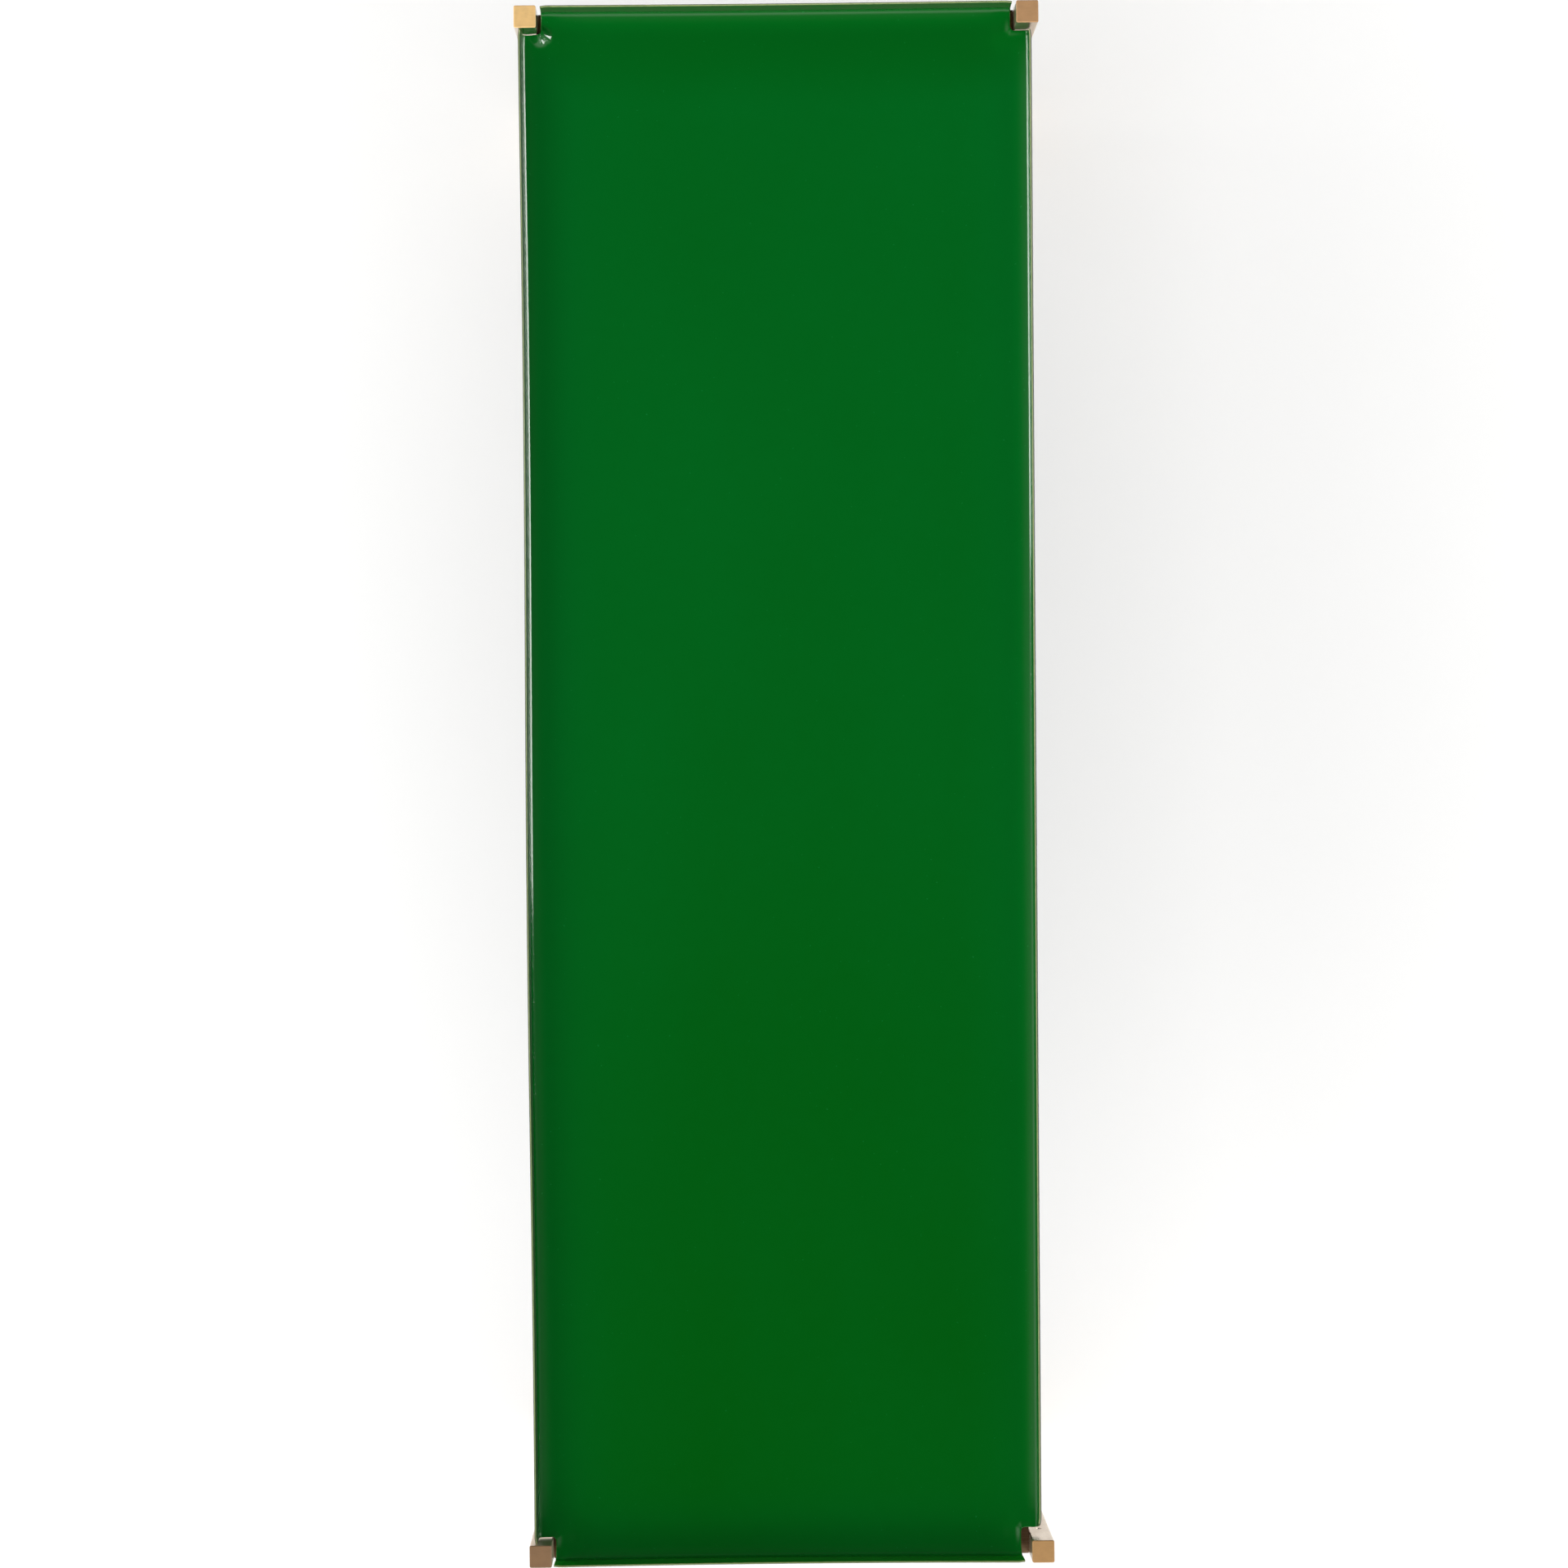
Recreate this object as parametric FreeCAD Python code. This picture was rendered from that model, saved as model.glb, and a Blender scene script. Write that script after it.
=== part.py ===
"""Low tray table: an enamelled steel tray that drops between four square bronze legs.

The frame is square bronze bar. Round tenons on the end rails are locked in the legs by
grub screws, the long rails are dowelled and gusseted to the end rails, and three slats
are let into the long rails. The tray lies loose on rubber bumpers and lifts straight off.
Each leg stands on a threaded glide.

Millimetres. +Z up, +Y along the table, origin on the floor under the table's middle.
The front is at -Y and the left is at -X.
"""

import FreeCAD
import Part
import math
import os

from FreeCAD import Vector

# ---- driving dimensions -------------------------------------------------------------

TABLE_LENGTH = 1125.0  # over the legs' outer faces, along Y
TABLE_WIDTH = 378.0  # over the legs' outer faces, along X
TABLE_HEIGHT = 425.0  # floor to the tops of the legs

LEG_SIDE = 16.0  # square bar
LEG_ROUND = 1.3  # rounding of the bar's long edges
LEG_TOP_ROUND = 0.7  # rounding round the leg's top face
LEG_PROUD = 5.0  # leg top above the tray's rim

SHEET = 1.8  # steel and enamel together
WALL_HEIGHT = 23.0  # tray floor to rim
WALL_FLARE = 1.0  # degrees that the walls lean outwards
COVE_RADIUS = 6.5  # inside, between floor and wall
TRAY_SIDE_INSET = 5.0  # rim to the legs' outer faces, along X
TRAY_END_OUTSET = 1.5  # rim past the legs' outer faces, along Y
NOTCH_CLEARANCE = 2.5  # notch edge to leg face
NOTCH_ROUND = 3.0  # inner corner of a notch
LIP_HEIGHT = 2.4  # raised edge round a notch, above the tray floor
LIP_WIDTH = 6.0  # at its foot
LIP_TOP_WIDTH = 1.5

RAIL_SIDE = 16.0  # square bar, height and width
BUMPER_RADIUS = 5.0
BUMPER_HEIGHT = 1.2
BUMPER_END_DISTANCE = 60.0  # last bumper on a long rail to the end rail
SLAT_BUMPER_SHARE = 0.6  # place of a slat's bumpers, as a share of its half length

TENON_RADIUS = 4.0
TENON_LENGTH = 12.0
FIT_CLEARANCE = 0.05  # radial, on tenons, dowels, screws and pads
BORE_END_GAP = 0.4  # between the end of a pin and the bottom of its hole

GRUB_RADIUS = 2.0
GRUB_SOCKET = 2.0  # across flats
GRUB_INSET = 0.2  # below the leg's face

DOWEL_RADIUS = 3.0
DOWEL_LENGTH = 20.0

GUSSET_ARM = 44.0  # reach of each arm past the other rail
GUSSET_THICKNESS = 3.0
GUSSET_SCREW_EDGE = 8.0  # last screw to the end of an arm
GUSSET_SCREW_PITCH = 22.0

SLAT_COUNT = 3
SLAT_PITCH = 300.0
SLAT_WIDTH = 20.0
SLAT_THICKNESS = 5.0
SLAT_SEAT = 11.0  # how far a slat's end reaches over its rail
SLAT_SIDE_GAP = 0.15  # slat to pocket wall

SCREW_RADIUS = 2.0
SCREW_HEAD_RADIUS = 3.9
SCREW_HEAD_HEIGHT = 2.2
SCREW_LENGTH = 10.0  # over the head
SCREW_SOCKET = 2.5  # across flats
SCREW_SOCKET_DEPTH = 1.4
HEAD_SINK = 0.1  # head face below the plate's face

GLIDE_RADIUS = 7.4
GLIDE_STEM_RADIUS = 4.0
GLIDE_STEM_LENGTH = 18.0
GLIDE_STEM_CLEARANCE = 0.15  # radial, stem to leg
GLIDE_CUP_HEIGHT = 3.0
GLIDE_FLATS = 13.0  # across the spanner flats
GLIDE_STOP_GAP = 0.3  # cup to leg when screwed right in
PAD_RADIUS = 6.4
PAD_HEIGHT = 4.0
PAD_RECESS = 1.5  # depth of the pad's seat in the cup
PAD_EDGE = 0.6

# ---- heights and lines that follow --------------------------------------------------

RIM_Z = TABLE_HEIGHT - LEG_PROUD
TRAY_FLOOR_Z = RIM_Z - WALL_HEIGHT
TRAY_UNDER_Z = TRAY_FLOOR_Z - SHEET
RAIL_TOP_Z = TRAY_UNDER_Z - BUMPER_HEIGHT
RAIL_UNDER_Z = RAIL_TOP_Z - RAIL_SIDE
RAIL_MIDDLE_Z = RAIL_TOP_Z - RAIL_SIDE / 2

CUP_UNDER_Z = PAD_HEIGHT - PAD_RECESS
CUP_TOP_Z = CUP_UNDER_Z + GLIDE_CUP_HEIGHT
LEG_UNDER_Z = CUP_TOP_Z + GLIDE_STOP_GAP

LEG_OUTER_X = TABLE_WIDTH / 2
LEG_OUTER_Y = TABLE_LENGTH / 2
LEG_INNER_X = LEG_OUTER_X - LEG_SIDE
LEG_INNER_Y = LEG_OUTER_Y - LEG_SIDE
LEG_MIDDLE_X = LEG_OUTER_X - LEG_SIDE / 2
LEG_MIDDLE_Y = LEG_OUTER_Y - LEG_SIDE / 2

END_RAIL_INNER_Y = LEG_OUTER_Y - RAIL_SIDE
END_RAIL_MIDDLE_Y = LEG_OUTER_Y - RAIL_SIDE / 2
LONG_RAIL_OUTER_X = LEG_INNER_X
LONG_RAIL_INNER_X = LONG_RAIL_OUTER_X - RAIL_SIDE
LONG_RAIL_MIDDLE_X = LONG_RAIL_OUTER_X - RAIL_SIDE / 2
GUSSET_END_X = LONG_RAIL_INNER_X - GUSSET_ARM
GUSSET_END_Y = END_RAIL_INNER_Y - GUSSET_ARM

TRAY_HALF_X = LEG_OUTER_X - TRAY_SIDE_INSET
TRAY_HALF_Y = LEG_OUTER_Y + TRAY_END_OUTSET
NOTCH_X = LEG_INNER_X - NOTCH_CLEARANCE
NOTCH_Y = LEG_INNER_Y - NOTCH_CLEARANCE

SLAT_HALF_LENGTH = LONG_RAIL_INNER_X + SLAT_SEAT
SLAT_YS = [(i - (SLAT_COUNT - 1) / 2) * SLAT_PITCH for i in range(SLAT_COUNT)]
SLAT_NAMES = ["slat_front", "slat_middle", "slat_rear"]
SLAT_SCREW_X = LONG_RAIL_INNER_X + SLAT_SEAT / 2

SIDES = {"left": -1, "right": 1}
ENDS = {"front": -1, "rear": 1}
CORNERS = {f"{end}_{side}": (SIDES[side], ENDS[end]) for end in ENDS for side in SIDES}

X_AXIS, Y_AXIS, Z_AXIS = Vector(1, 0, 0), Vector(0, 1, 0), Vector(0, 0, 1)
CUT_SLACK = 1.0  # how far a cutting tool runs past the face that it opens


# ---- small helpers ------------------------------------------------------------------


def box(x0, x1, y0, y1, z0, z1):
    return Part.makeBox(x1 - x0, y1 - y0, z1 - z0, Vector(x0, y0, z0))


def rod(radius, start, axis, length):
    return Part.makeCylinder(radius, length, start, axis)


def hexagon(flats, start, length):
    """An upright hexagonal prism, for a socket."""
    corners = [
        start + Vector(math.cos(a), math.sin(a), 0) * (flats / math.sqrt(3))
        for a in [math.radians(60 * i) for i in range(7)]
    ]
    return Part.Face(Part.makePolygon(corners)).extrude(Z_AXIS * length)


def mirrored(shape, side, end):
    """The rear right corner's shape, carried to another corner."""
    if side < 0:
        shape = shape.mirror(Vector(0, 0, 0), X_AXIS)
    if end < 0:
        shape = shape.mirror(Vector(0, 0, 0), Y_AXIS)
    return shape


def turned_over(shape):
    """The shape upside down about the X axis."""
    shape = shape.copy()
    shape.rotate(Vector(0, 0, 0), X_AXIS, 180)
    return shape


def moved(shape, x, y, z):
    shape = shape.copy()
    shape.translate(Vector(x, y, z))
    return shape


# ---- tray ---------------------------------------------------------------------------


def trough_section(rim_half, offset):
    """Half widths and heights of a tray section: floor, cove and leaning wall.

    rim_half is the outer half width at the rim. An offset of 0 gives the inside surface
    and SHEET gives the outside one. Both share the cove's centre.
    """
    lean = math.radians(WALL_FLARE)
    radius = COVE_RADIUS + offset
    wall_run = (WALL_HEIGHT - COVE_RADIUS * (1 - math.sin(lean))) / math.cos(lean)
    centre_x = (
        rim_half
        - SHEET / math.cos(lean)
        - wall_run * math.sin(lean)
        - COVE_RADIUS * math.cos(lean)
    )
    centre_z = TRAY_FLOOR_Z + COVE_RADIUS

    def on_cove(angle):
        return centre_x + radius * math.sin(angle), centre_z - radius * math.cos(angle)

    wall_start = on_cove(math.pi / 2 - lean)
    top_z = RIM_Z + (CUT_SLACK if offset == 0 else 0)
    wall_top = (wall_start[0] + (top_z - wall_start[1]) * math.tan(lean), top_z)
    return on_cove(0), on_cove((math.pi / 2 - lean) / 2), wall_start, wall_top


def trough(rim_half, length, offset, along_x):
    """A long prism with the tray's cross-section."""
    floor_end, cove_middle, wall_start, wall_top = trough_section(rim_half, offset)

    def point(xz, side):
        across, height = side * xz[0], xz[1]
        return Vector(-length, across, height) if along_x else Vector(across, -length, height)

    edges = [Part.LineSegment(point(floor_end, -1), point(floor_end, 1))]
    for side in (1, -1):
        edges.append(Part.Arc(*[point(p, side) for p in (floor_end, cove_middle, wall_start)]))
        edges.append(Part.LineSegment(point(wall_start, side), point(wall_top, side)))
    edges.append(Part.LineSegment(point(wall_top, -1), point(wall_top, 1)))
    wire = Part.Wire(Part.__sortEdges__([e.toShape() for e in edges]))
    return Part.Face(wire).extrude((X_AXIS if along_x else Y_AXIS) * 2 * length)


def tray_block(offset):
    across = trough(TRAY_HALF_X, TABLE_LENGTH, offset, along_x=False)
    lengthways = trough(TRAY_HALF_Y, TABLE_LENGTH, offset, along_x=True)
    return across.common(lengthways)


def notch_face(inset, z):
    """The rear right notch's outline at a height, grown inwards by inset."""
    x0, y0 = NOTCH_X - inset, NOTCH_Y - inset
    x1, y1 = LEG_OUTER_X + LEG_SIDE, LEG_OUTER_Y + LEG_SIDE
    r = NOTCH_ROUND + inset
    arc_middle = r * (1 - math.sqrt(0.5))
    edges = [
        Part.Arc(
            Vector(x0, y0 + r, z), Vector(x0 + arc_middle, y0 + arc_middle, z), Vector(x0 + r, y0, z)
        ),
        Part.LineSegment(Vector(x0 + r, y0, z), Vector(x1, y0, z)),
        Part.LineSegment(Vector(x1, y0, z), Vector(x1, y1, z)),
        Part.LineSegment(Vector(x1, y1, z), Vector(x0, y1, z)),
        Part.LineSegment(Vector(x0, y1, z), Vector(x0, y0 + r, z)),
    ]
    return Part.Face(Part.Wire([e.toShape() for e in edges]))


def notch_lip():
    """Raised edge round the rear right notch, sloping down to the tray floor."""
    foot = notch_face(LIP_WIDTH, TRAY_FLOOR_Z)
    crest = notch_face(LIP_TOP_WIDTH, TRAY_FLOOR_Z + LIP_HEIGHT)
    slope = Part.makeLoft([foot.OuterWire, crest.OuterWire], True, True)
    base = notch_face(LIP_WIDTH, TRAY_UNDER_Z).extrude(Z_AXIS * SHEET)
    return slope.fuse(base)


def tray():
    outside = tray_block(SHEET)
    shell = outside.cut(tray_block(0))
    notch = notch_face(0, TRAY_UNDER_Z - CUT_SLACK).extrude(Z_AXIS * LEG_OUTER_Y)
    for side, end in CORNERS.values():
        shell = shell.fuse(mirrored(notch_lip(), side, end).common(outside))
        shell = shell.cut(mirrored(notch, side, end))
    return shell.removeSplitter()


# ---- screws and pins ----------------------------------------------------------------


def countersunk_screw():
    """Head face at z = 0 and shank downwards."""
    head = Part.makeCone(
        SCREW_RADIUS, SCREW_HEAD_RADIUS, SCREW_HEAD_HEIGHT, Vector(0, 0, -SCREW_HEAD_HEIGHT)
    )
    shank = rod(SCREW_RADIUS, Vector(0, 0, -SCREW_LENGTH), Z_AXIS, SCREW_LENGTH)
    socket = hexagon(
        SCREW_SOCKET, Vector(0, 0, -SCREW_SOCKET_DEPTH), SCREW_SOCKET_DEPTH + CUT_SLACK
    )
    return head.fuse(shank).removeSplitter().cut(socket)


def countersunk_hole():
    """What a countersunk screw with its head face at z = 0 needs cleared."""
    grown = SCREW_HEAD_RADIUS + FIT_CLEARANCE
    cone = Part.makeCone(
        SCREW_RADIUS + FIT_CLEARANCE, grown, SCREW_HEAD_HEIGHT, Vector(0, 0, -SCREW_HEAD_HEIGHT)
    )
    depth = SCREW_LENGTH + BORE_END_GAP
    shank = rod(SCREW_RADIUS + FIT_CLEARANCE, Vector(0, 0, -depth), Z_AXIS, depth)
    mouth = rod(grown, Vector(0, 0, 0), Z_AXIS, HEAD_SINK + CUT_SLACK)
    return cone.fuse([shank, mouth])


def gusset_screw_points():
    """Screw places in the rear right corner: two on the end rail and two on the long rail."""
    steps = [GUSSET_SCREW_EDGE, GUSSET_SCREW_EDGE + GUSSET_SCREW_PITCH]
    on_end_rail = [(GUSSET_END_X + s, END_RAIL_MIDDLE_Y) for s in steps]
    on_long_rail = [(LONG_RAIL_MIDDLE_X, GUSSET_END_Y + s) for s in steps]
    return on_end_rail + on_long_rail


def at_gusset_screws(shape):
    """The shape, turned head down, at each gusset screw of the rear right corner."""
    head_z = RAIL_UNDER_Z - GUSSET_THICKNESS + HEAD_SINK
    upside_down = turned_over(shape)
    return [moved(upside_down, x, y, head_z) for x, y in gusset_screw_points()]


def at_slat_screws(shape):
    head_z = RAIL_TOP_Z - HEAD_SINK
    return [moved(shape, s * SLAT_SCREW_X, y, head_z) for y in SLAT_YS for s in (-1, 1)]


def dowel(grow=0.0, stretch=0.0):
    """The rear right dowel, half in the end rail and half in the long rail."""
    half = DOWEL_LENGTH / 2 + stretch
    start = Vector(LONG_RAIL_MIDDLE_X, END_RAIL_INNER_Y - half, RAIL_MIDDLE_Z)
    return rod(DOWEL_RADIUS + grow, start, Y_AXIS, 2 * half)


def grub_screw():
    """The rear right grub screw, from the leg's inner face to the tenon."""
    start = Vector(LEG_MIDDLE_X, LEG_INNER_Y + GRUB_INSET, RAIL_MIDDLE_Z)
    length = END_RAIL_MIDDLE_Y - TENON_RADIUS - start.y - FIT_CLEARANCE
    socket = hexagon(GRUB_SOCKET, Vector(0, 0, 0), length / 2 + CUT_SLACK)
    socket.rotate(Vector(0, 0, 0), X_AXIS, -90)
    socket.translate(start - Y_AXIS * CUT_SLACK)
    return rod(GRUB_RADIUS, start, Y_AXIS, length).cut(socket)


# ---- frame --------------------------------------------------------------------------


def leg():
    """The rear right leg."""
    body = box(LEG_INNER_X, LEG_OUTER_X, LEG_INNER_Y, LEG_OUTER_Y, LEG_UNDER_Z, TABLE_HEIGHT)
    upright = [e for e in body.Edges if abs(e.Length - (TABLE_HEIGHT - LEG_UNDER_Z)) < 1e-6]
    body = body.makeFillet(LEG_ROUND, upright)
    top = [e for e in body.Edges if all(abs(v.Z - TABLE_HEIGHT) < 1e-6 for v in e.Vertexes)]
    body = body.makeFillet(LEG_TOP_ROUND, top)
    tenon_bore = rod(
        TENON_RADIUS + FIT_CLEARANCE,
        Vector(LEG_INNER_X - CUT_SLACK, END_RAIL_MIDDLE_Y, RAIL_MIDDLE_Z),
        X_AXIS,
        TENON_LENGTH + BORE_END_GAP + CUT_SLACK,
    )
    grub_bore = rod(
        GRUB_RADIUS + FIT_CLEARANCE,
        Vector(LEG_MIDDLE_X, LEG_INNER_Y - CUT_SLACK, RAIL_MIDDLE_Z),
        Y_AXIS,
        END_RAIL_MIDDLE_Y - LEG_INNER_Y + CUT_SLACK,
    )
    glide_bore = rod(
        GLIDE_STEM_RADIUS + GLIDE_STEM_CLEARANCE,
        Vector(LEG_MIDDLE_X, LEG_MIDDLE_Y, LEG_UNDER_Z - CUT_SLACK),
        Z_AXIS,
        GLIDE_STEM_LENGTH + CUT_SLACK,
    )
    return body.cut([tenon_bore, grub_bore, glide_bore])


def end_rail(end):
    rail = box(
        -LEG_INNER_X, LEG_INNER_X, END_RAIL_INNER_Y, LEG_OUTER_Y, RAIL_UNDER_Z, RAIL_TOP_Z
    )
    tenon = rod(
        TENON_RADIUS,
        Vector(-LEG_INNER_X - TENON_LENGTH, END_RAIL_MIDDLE_Y, RAIL_MIDDLE_Z),
        X_AXIS,
        2 * (LEG_INNER_X + TENON_LENGTH),
    )
    rail = rail.fuse(tenon)
    holes = [dowel(FIT_CLEARANCE, BORE_END_GAP)] + at_gusset_screws(countersunk_hole())
    rail = rail.cut([mirrored(h, side, 1) for h in holes for side in SIDES.values()])
    return mirrored(rail, 1, end)


def slat_pocket(slat_y):
    half_width = SLAT_WIDTH / 2 + SLAT_SIDE_GAP
    return box(
        LONG_RAIL_INNER_X - CUT_SLACK,
        SLAT_HALF_LENGTH + SLAT_SIDE_GAP,
        slat_y - half_width,
        slat_y + half_width,
        RAIL_TOP_Z - SLAT_THICKNESS,
        RAIL_TOP_Z + CUT_SLACK,
    )


def long_rail(side):
    rail = box(
        LONG_RAIL_INNER_X,
        LONG_RAIL_OUTER_X,
        -END_RAIL_INNER_Y,
        END_RAIL_INNER_Y,
        RAIL_UNDER_Z,
        RAIL_TOP_Z,
    )
    holes = [dowel(FIT_CLEARANCE, BORE_END_GAP)] + at_gusset_screws(countersunk_hole())
    cuts = [mirrored(h, 1, end) for h in holes for end in ENDS.values()]
    cuts += [slat_pocket(y) for y in SLAT_YS] + at_slat_screws(countersunk_hole())
    return mirrored(rail.cut(cuts), side, 1)


def slat(slat_y):
    bar = box(
        -SLAT_HALF_LENGTH,
        SLAT_HALF_LENGTH,
        slat_y - SLAT_WIDTH / 2,
        slat_y + SLAT_WIDTH / 2,
        RAIL_TOP_Z - SLAT_THICKNESS,
        RAIL_TOP_Z,
    )
    return bar.cut(at_slat_screws(countersunk_hole()))


def gusset():
    """The rear right gusset, an L-shaped plate under the two rails."""
    top_z, under_z = RAIL_UNDER_Z, RAIL_UNDER_Z - GUSSET_THICKNESS
    along_end = box(
        GUSSET_END_X, LONG_RAIL_OUTER_X, END_RAIL_INNER_Y, LEG_OUTER_Y, under_z, top_z
    )
    along_side = box(
        LONG_RAIL_INNER_X, LONG_RAIL_OUTER_X, GUSSET_END_Y, LEG_OUTER_Y, under_z, top_z
    )
    plate = along_end.fuse(along_side).removeSplitter()
    return plate.cut(at_gusset_screws(countersunk_hole()))


def bumpers():
    disc = rod(BUMPER_RADIUS, Vector(0, 0, RAIL_TOP_Z), Z_AXIS, BUMPER_HEIGHT)
    rail_y = END_RAIL_INNER_Y - BUMPER_END_DISTANCE
    on_rails = [
        moved(disc, side * LONG_RAIL_MIDDLE_X, end * rail_y, 0) for side, end in CORNERS.values()
    ]
    slat_x = SLAT_BUMPER_SHARE * SLAT_HALF_LENGTH
    on_slats = [moved(disc, s * slat_x, y, 0) for y in SLAT_YS for s in (-1, 1)]
    return on_rails + on_slats


# ---- glides -------------------------------------------------------------------------


def glide_stem():
    """The rear right glide's threaded stem and cup, with two spanner flats."""
    centre = Vector(LEG_MIDDLE_X, LEG_MIDDLE_Y, 0)
    cup = rod(GLIDE_RADIUS, centre + Z_AXIS * CUP_UNDER_Z, Z_AXIS, GLIDE_CUP_HEIGHT)
    flats = box(
        centre.x - GLIDE_FLATS / 2,
        centre.x + GLIDE_FLATS / 2,
        centre.y - LEG_SIDE,
        centre.y + LEG_SIDE,
        CUP_UNDER_Z + PAD_RECESS,
        CUP_TOP_Z,
    )
    skirt = rod(GLIDE_RADIUS, centre + Z_AXIS * CUP_UNDER_Z, Z_AXIS, PAD_RECESS)
    seat = rod(PAD_RADIUS + FIT_CLEARANCE, centre + Z_AXIS * CUP_UNDER_Z, Z_AXIS, PAD_RECESS)
    stem = rod(
        GLIDE_STEM_RADIUS,
        centre + Z_AXIS * (CUP_UNDER_Z + PAD_RECESS),
        Z_AXIS,
        GLIDE_CUP_HEIGHT - PAD_RECESS + GLIDE_STEM_LENGTH - BORE_END_GAP,
    )
    return cup.common(flats).fuse([skirt, stem]).removeSplitter().cut(seat)


def glide_pad():
    """The rear right glide's pad, seated in the cup."""
    pad = rod(PAD_RADIUS, Vector(LEG_MIDDLE_X, LEG_MIDDLE_Y, 0), Z_AXIS, PAD_HEIGHT)
    foot = [e for e in pad.Edges if all(abs(v.Z) < 1e-6 for v in e.Vertexes)]
    return pad.makeChamfer(PAD_EDGE, foot)


# ---- assembly -----------------------------------------------------------------------


def at_corners(shapes):
    return [mirrored(s, side, end) for side, end in CORNERS.values() for s in shapes]


def assembly():
    nodes = {"tray": [tray()]}
    for corner, (side, end) in CORNERS.items():
        nodes[f"leg_{corner}"] = [mirrored(leg(), side, end)]
        nodes[f"gusset_{corner}"] = [mirrored(gusset(), side, end)]
        nodes[f"glide_stem_{corner}"] = [mirrored(glide_stem(), side, end)]
        nodes[f"glide_pad_{corner}"] = [mirrored(glide_pad(), side, end)]
    for name, end in ENDS.items():
        nodes[f"end_rail_{name}"] = [end_rail(end)]
    for name, side in SIDES.items():
        nodes[f"long_rail_{name}"] = [long_rail(side)]
    for name, slat_y in zip(SLAT_NAMES, SLAT_YS):
        nodes[name] = [slat(slat_y)]
    nodes["gusset_screws"] = at_corners(at_gusset_screws(countersunk_screw()))
    nodes["slat_screws"] = at_slat_screws(countersunk_screw())
    nodes["tenon_grub_screws"] = at_corners([grub_screw()])
    nodes["rail_dowels"] = at_corners([dowel()])
    nodes["tray_bumpers"] = bumpers()
    return nodes


def main():
    os.makedirs("parts", exist_ok=True)
    for name, shapes in assembly().items():
        solids = [solid for shape in shapes for solid in shape.Solids]
        for solid in solids:
            if not solid.isValid() or solid.Volume <= 0:
                raise ValueError(f"{name} has a solid that is not valid")
        Part.makeCompound(solids).exportStep(f"parts/{name}.step")
        print(f"{name}: {len(solids)} solid(s), {sum(s.Volume for s in solids):.1f} mm3")


main()
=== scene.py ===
"""Finishes a tray table: enamelled tray, threaded glides, materials, floor, light, camera."""

import math

import bpy
import numpy as np
from mathutils import Euler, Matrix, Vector


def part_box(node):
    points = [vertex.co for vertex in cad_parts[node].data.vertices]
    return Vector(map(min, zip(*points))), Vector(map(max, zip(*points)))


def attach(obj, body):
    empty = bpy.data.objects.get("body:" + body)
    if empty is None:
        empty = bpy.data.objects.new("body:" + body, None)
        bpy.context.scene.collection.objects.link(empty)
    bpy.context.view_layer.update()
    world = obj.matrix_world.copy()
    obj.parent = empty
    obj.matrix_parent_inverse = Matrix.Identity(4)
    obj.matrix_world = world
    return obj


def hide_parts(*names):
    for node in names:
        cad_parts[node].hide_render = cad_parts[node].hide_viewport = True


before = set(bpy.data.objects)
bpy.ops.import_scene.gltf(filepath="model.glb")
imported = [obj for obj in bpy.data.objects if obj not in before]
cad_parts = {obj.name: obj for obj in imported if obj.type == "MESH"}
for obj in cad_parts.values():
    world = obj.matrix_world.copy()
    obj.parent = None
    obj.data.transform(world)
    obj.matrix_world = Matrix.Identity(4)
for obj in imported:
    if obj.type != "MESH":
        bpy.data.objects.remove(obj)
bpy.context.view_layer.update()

bl_info = {
    "name": "Tray Table",
    "version": (1, 0, 0),
    "blender": (4, 5, 0),
    "location": "3D View > Sidebar > Tray Table",
    "description": "Enamelled tray table on square bronze legs, with its materials and a studio",
    "category": "Add Mesh",
}

# Which way each corner lies along X and along Y
CORNERS = {
    "rear_left": (-1, 1),
    "rear_right": (1, 1),
    "front_left": (-1, -1),
    "front_right": (1, -1),
}
# Share of brown skin on a leg's sides, and the colour of its filed top
LEG_TONES = {
    "rear_left": (0.15, (0.62, 0.40, 0.16)),
    "rear_right": (0.55, (0.34, 0.19, 0.085)),
    "front_left": (0.85, (0.18, 0.10, 0.045)),
    "front_right": (0.50, (0.33, 0.18, 0.06)),
}
MM = 0.001

TRAY_LOW, TRAY_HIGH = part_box("tray")
LEG_LOW, LEG_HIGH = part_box("leg_rear_right")
STEM_LOW, STEM_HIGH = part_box("glide_stem_rear_right")
LEG_MIDDLE = (LEG_LOW + LEG_HIGH) / 2
LEG_HALF = (LEG_HIGH.x - LEG_LOW.x) / 2
LEG_TOP = LEG_HIGH.z


# ---- sizes and colours ---------------------------------------------------------------


def length(name, description, default):
    return bpy.props.FloatProperty(
        name=name, description=description, default=default, unit="LENGTH", subtype="DISTANCE"
    )


def angle(name, description, degrees):
    return bpy.props.FloatProperty(
        name=name, description=description, default=math.radians(degrees), subtype="ANGLE"
    )


def colour(name, description, default):
    return bpy.props.FloatVectorProperty(
        name=name, description=description, default=default, subtype="COLOR", min=0.0, max=1.0
    )


def share(name, description, default):
    return bpy.props.FloatProperty(
        name=name, description=description, default=default, subtype="FACTOR", min=0.0, max=1.0
    )


def gaps(name, corner_gaps):
    return bpy.props.FloatVectorProperty(
        name=name,
        description="Gap from notch to leg: across at the floor and at the rim, then along at both",
        default=[g * MM for g in corner_gaps],
        size=4,
        unit="LENGTH",
    )


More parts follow.
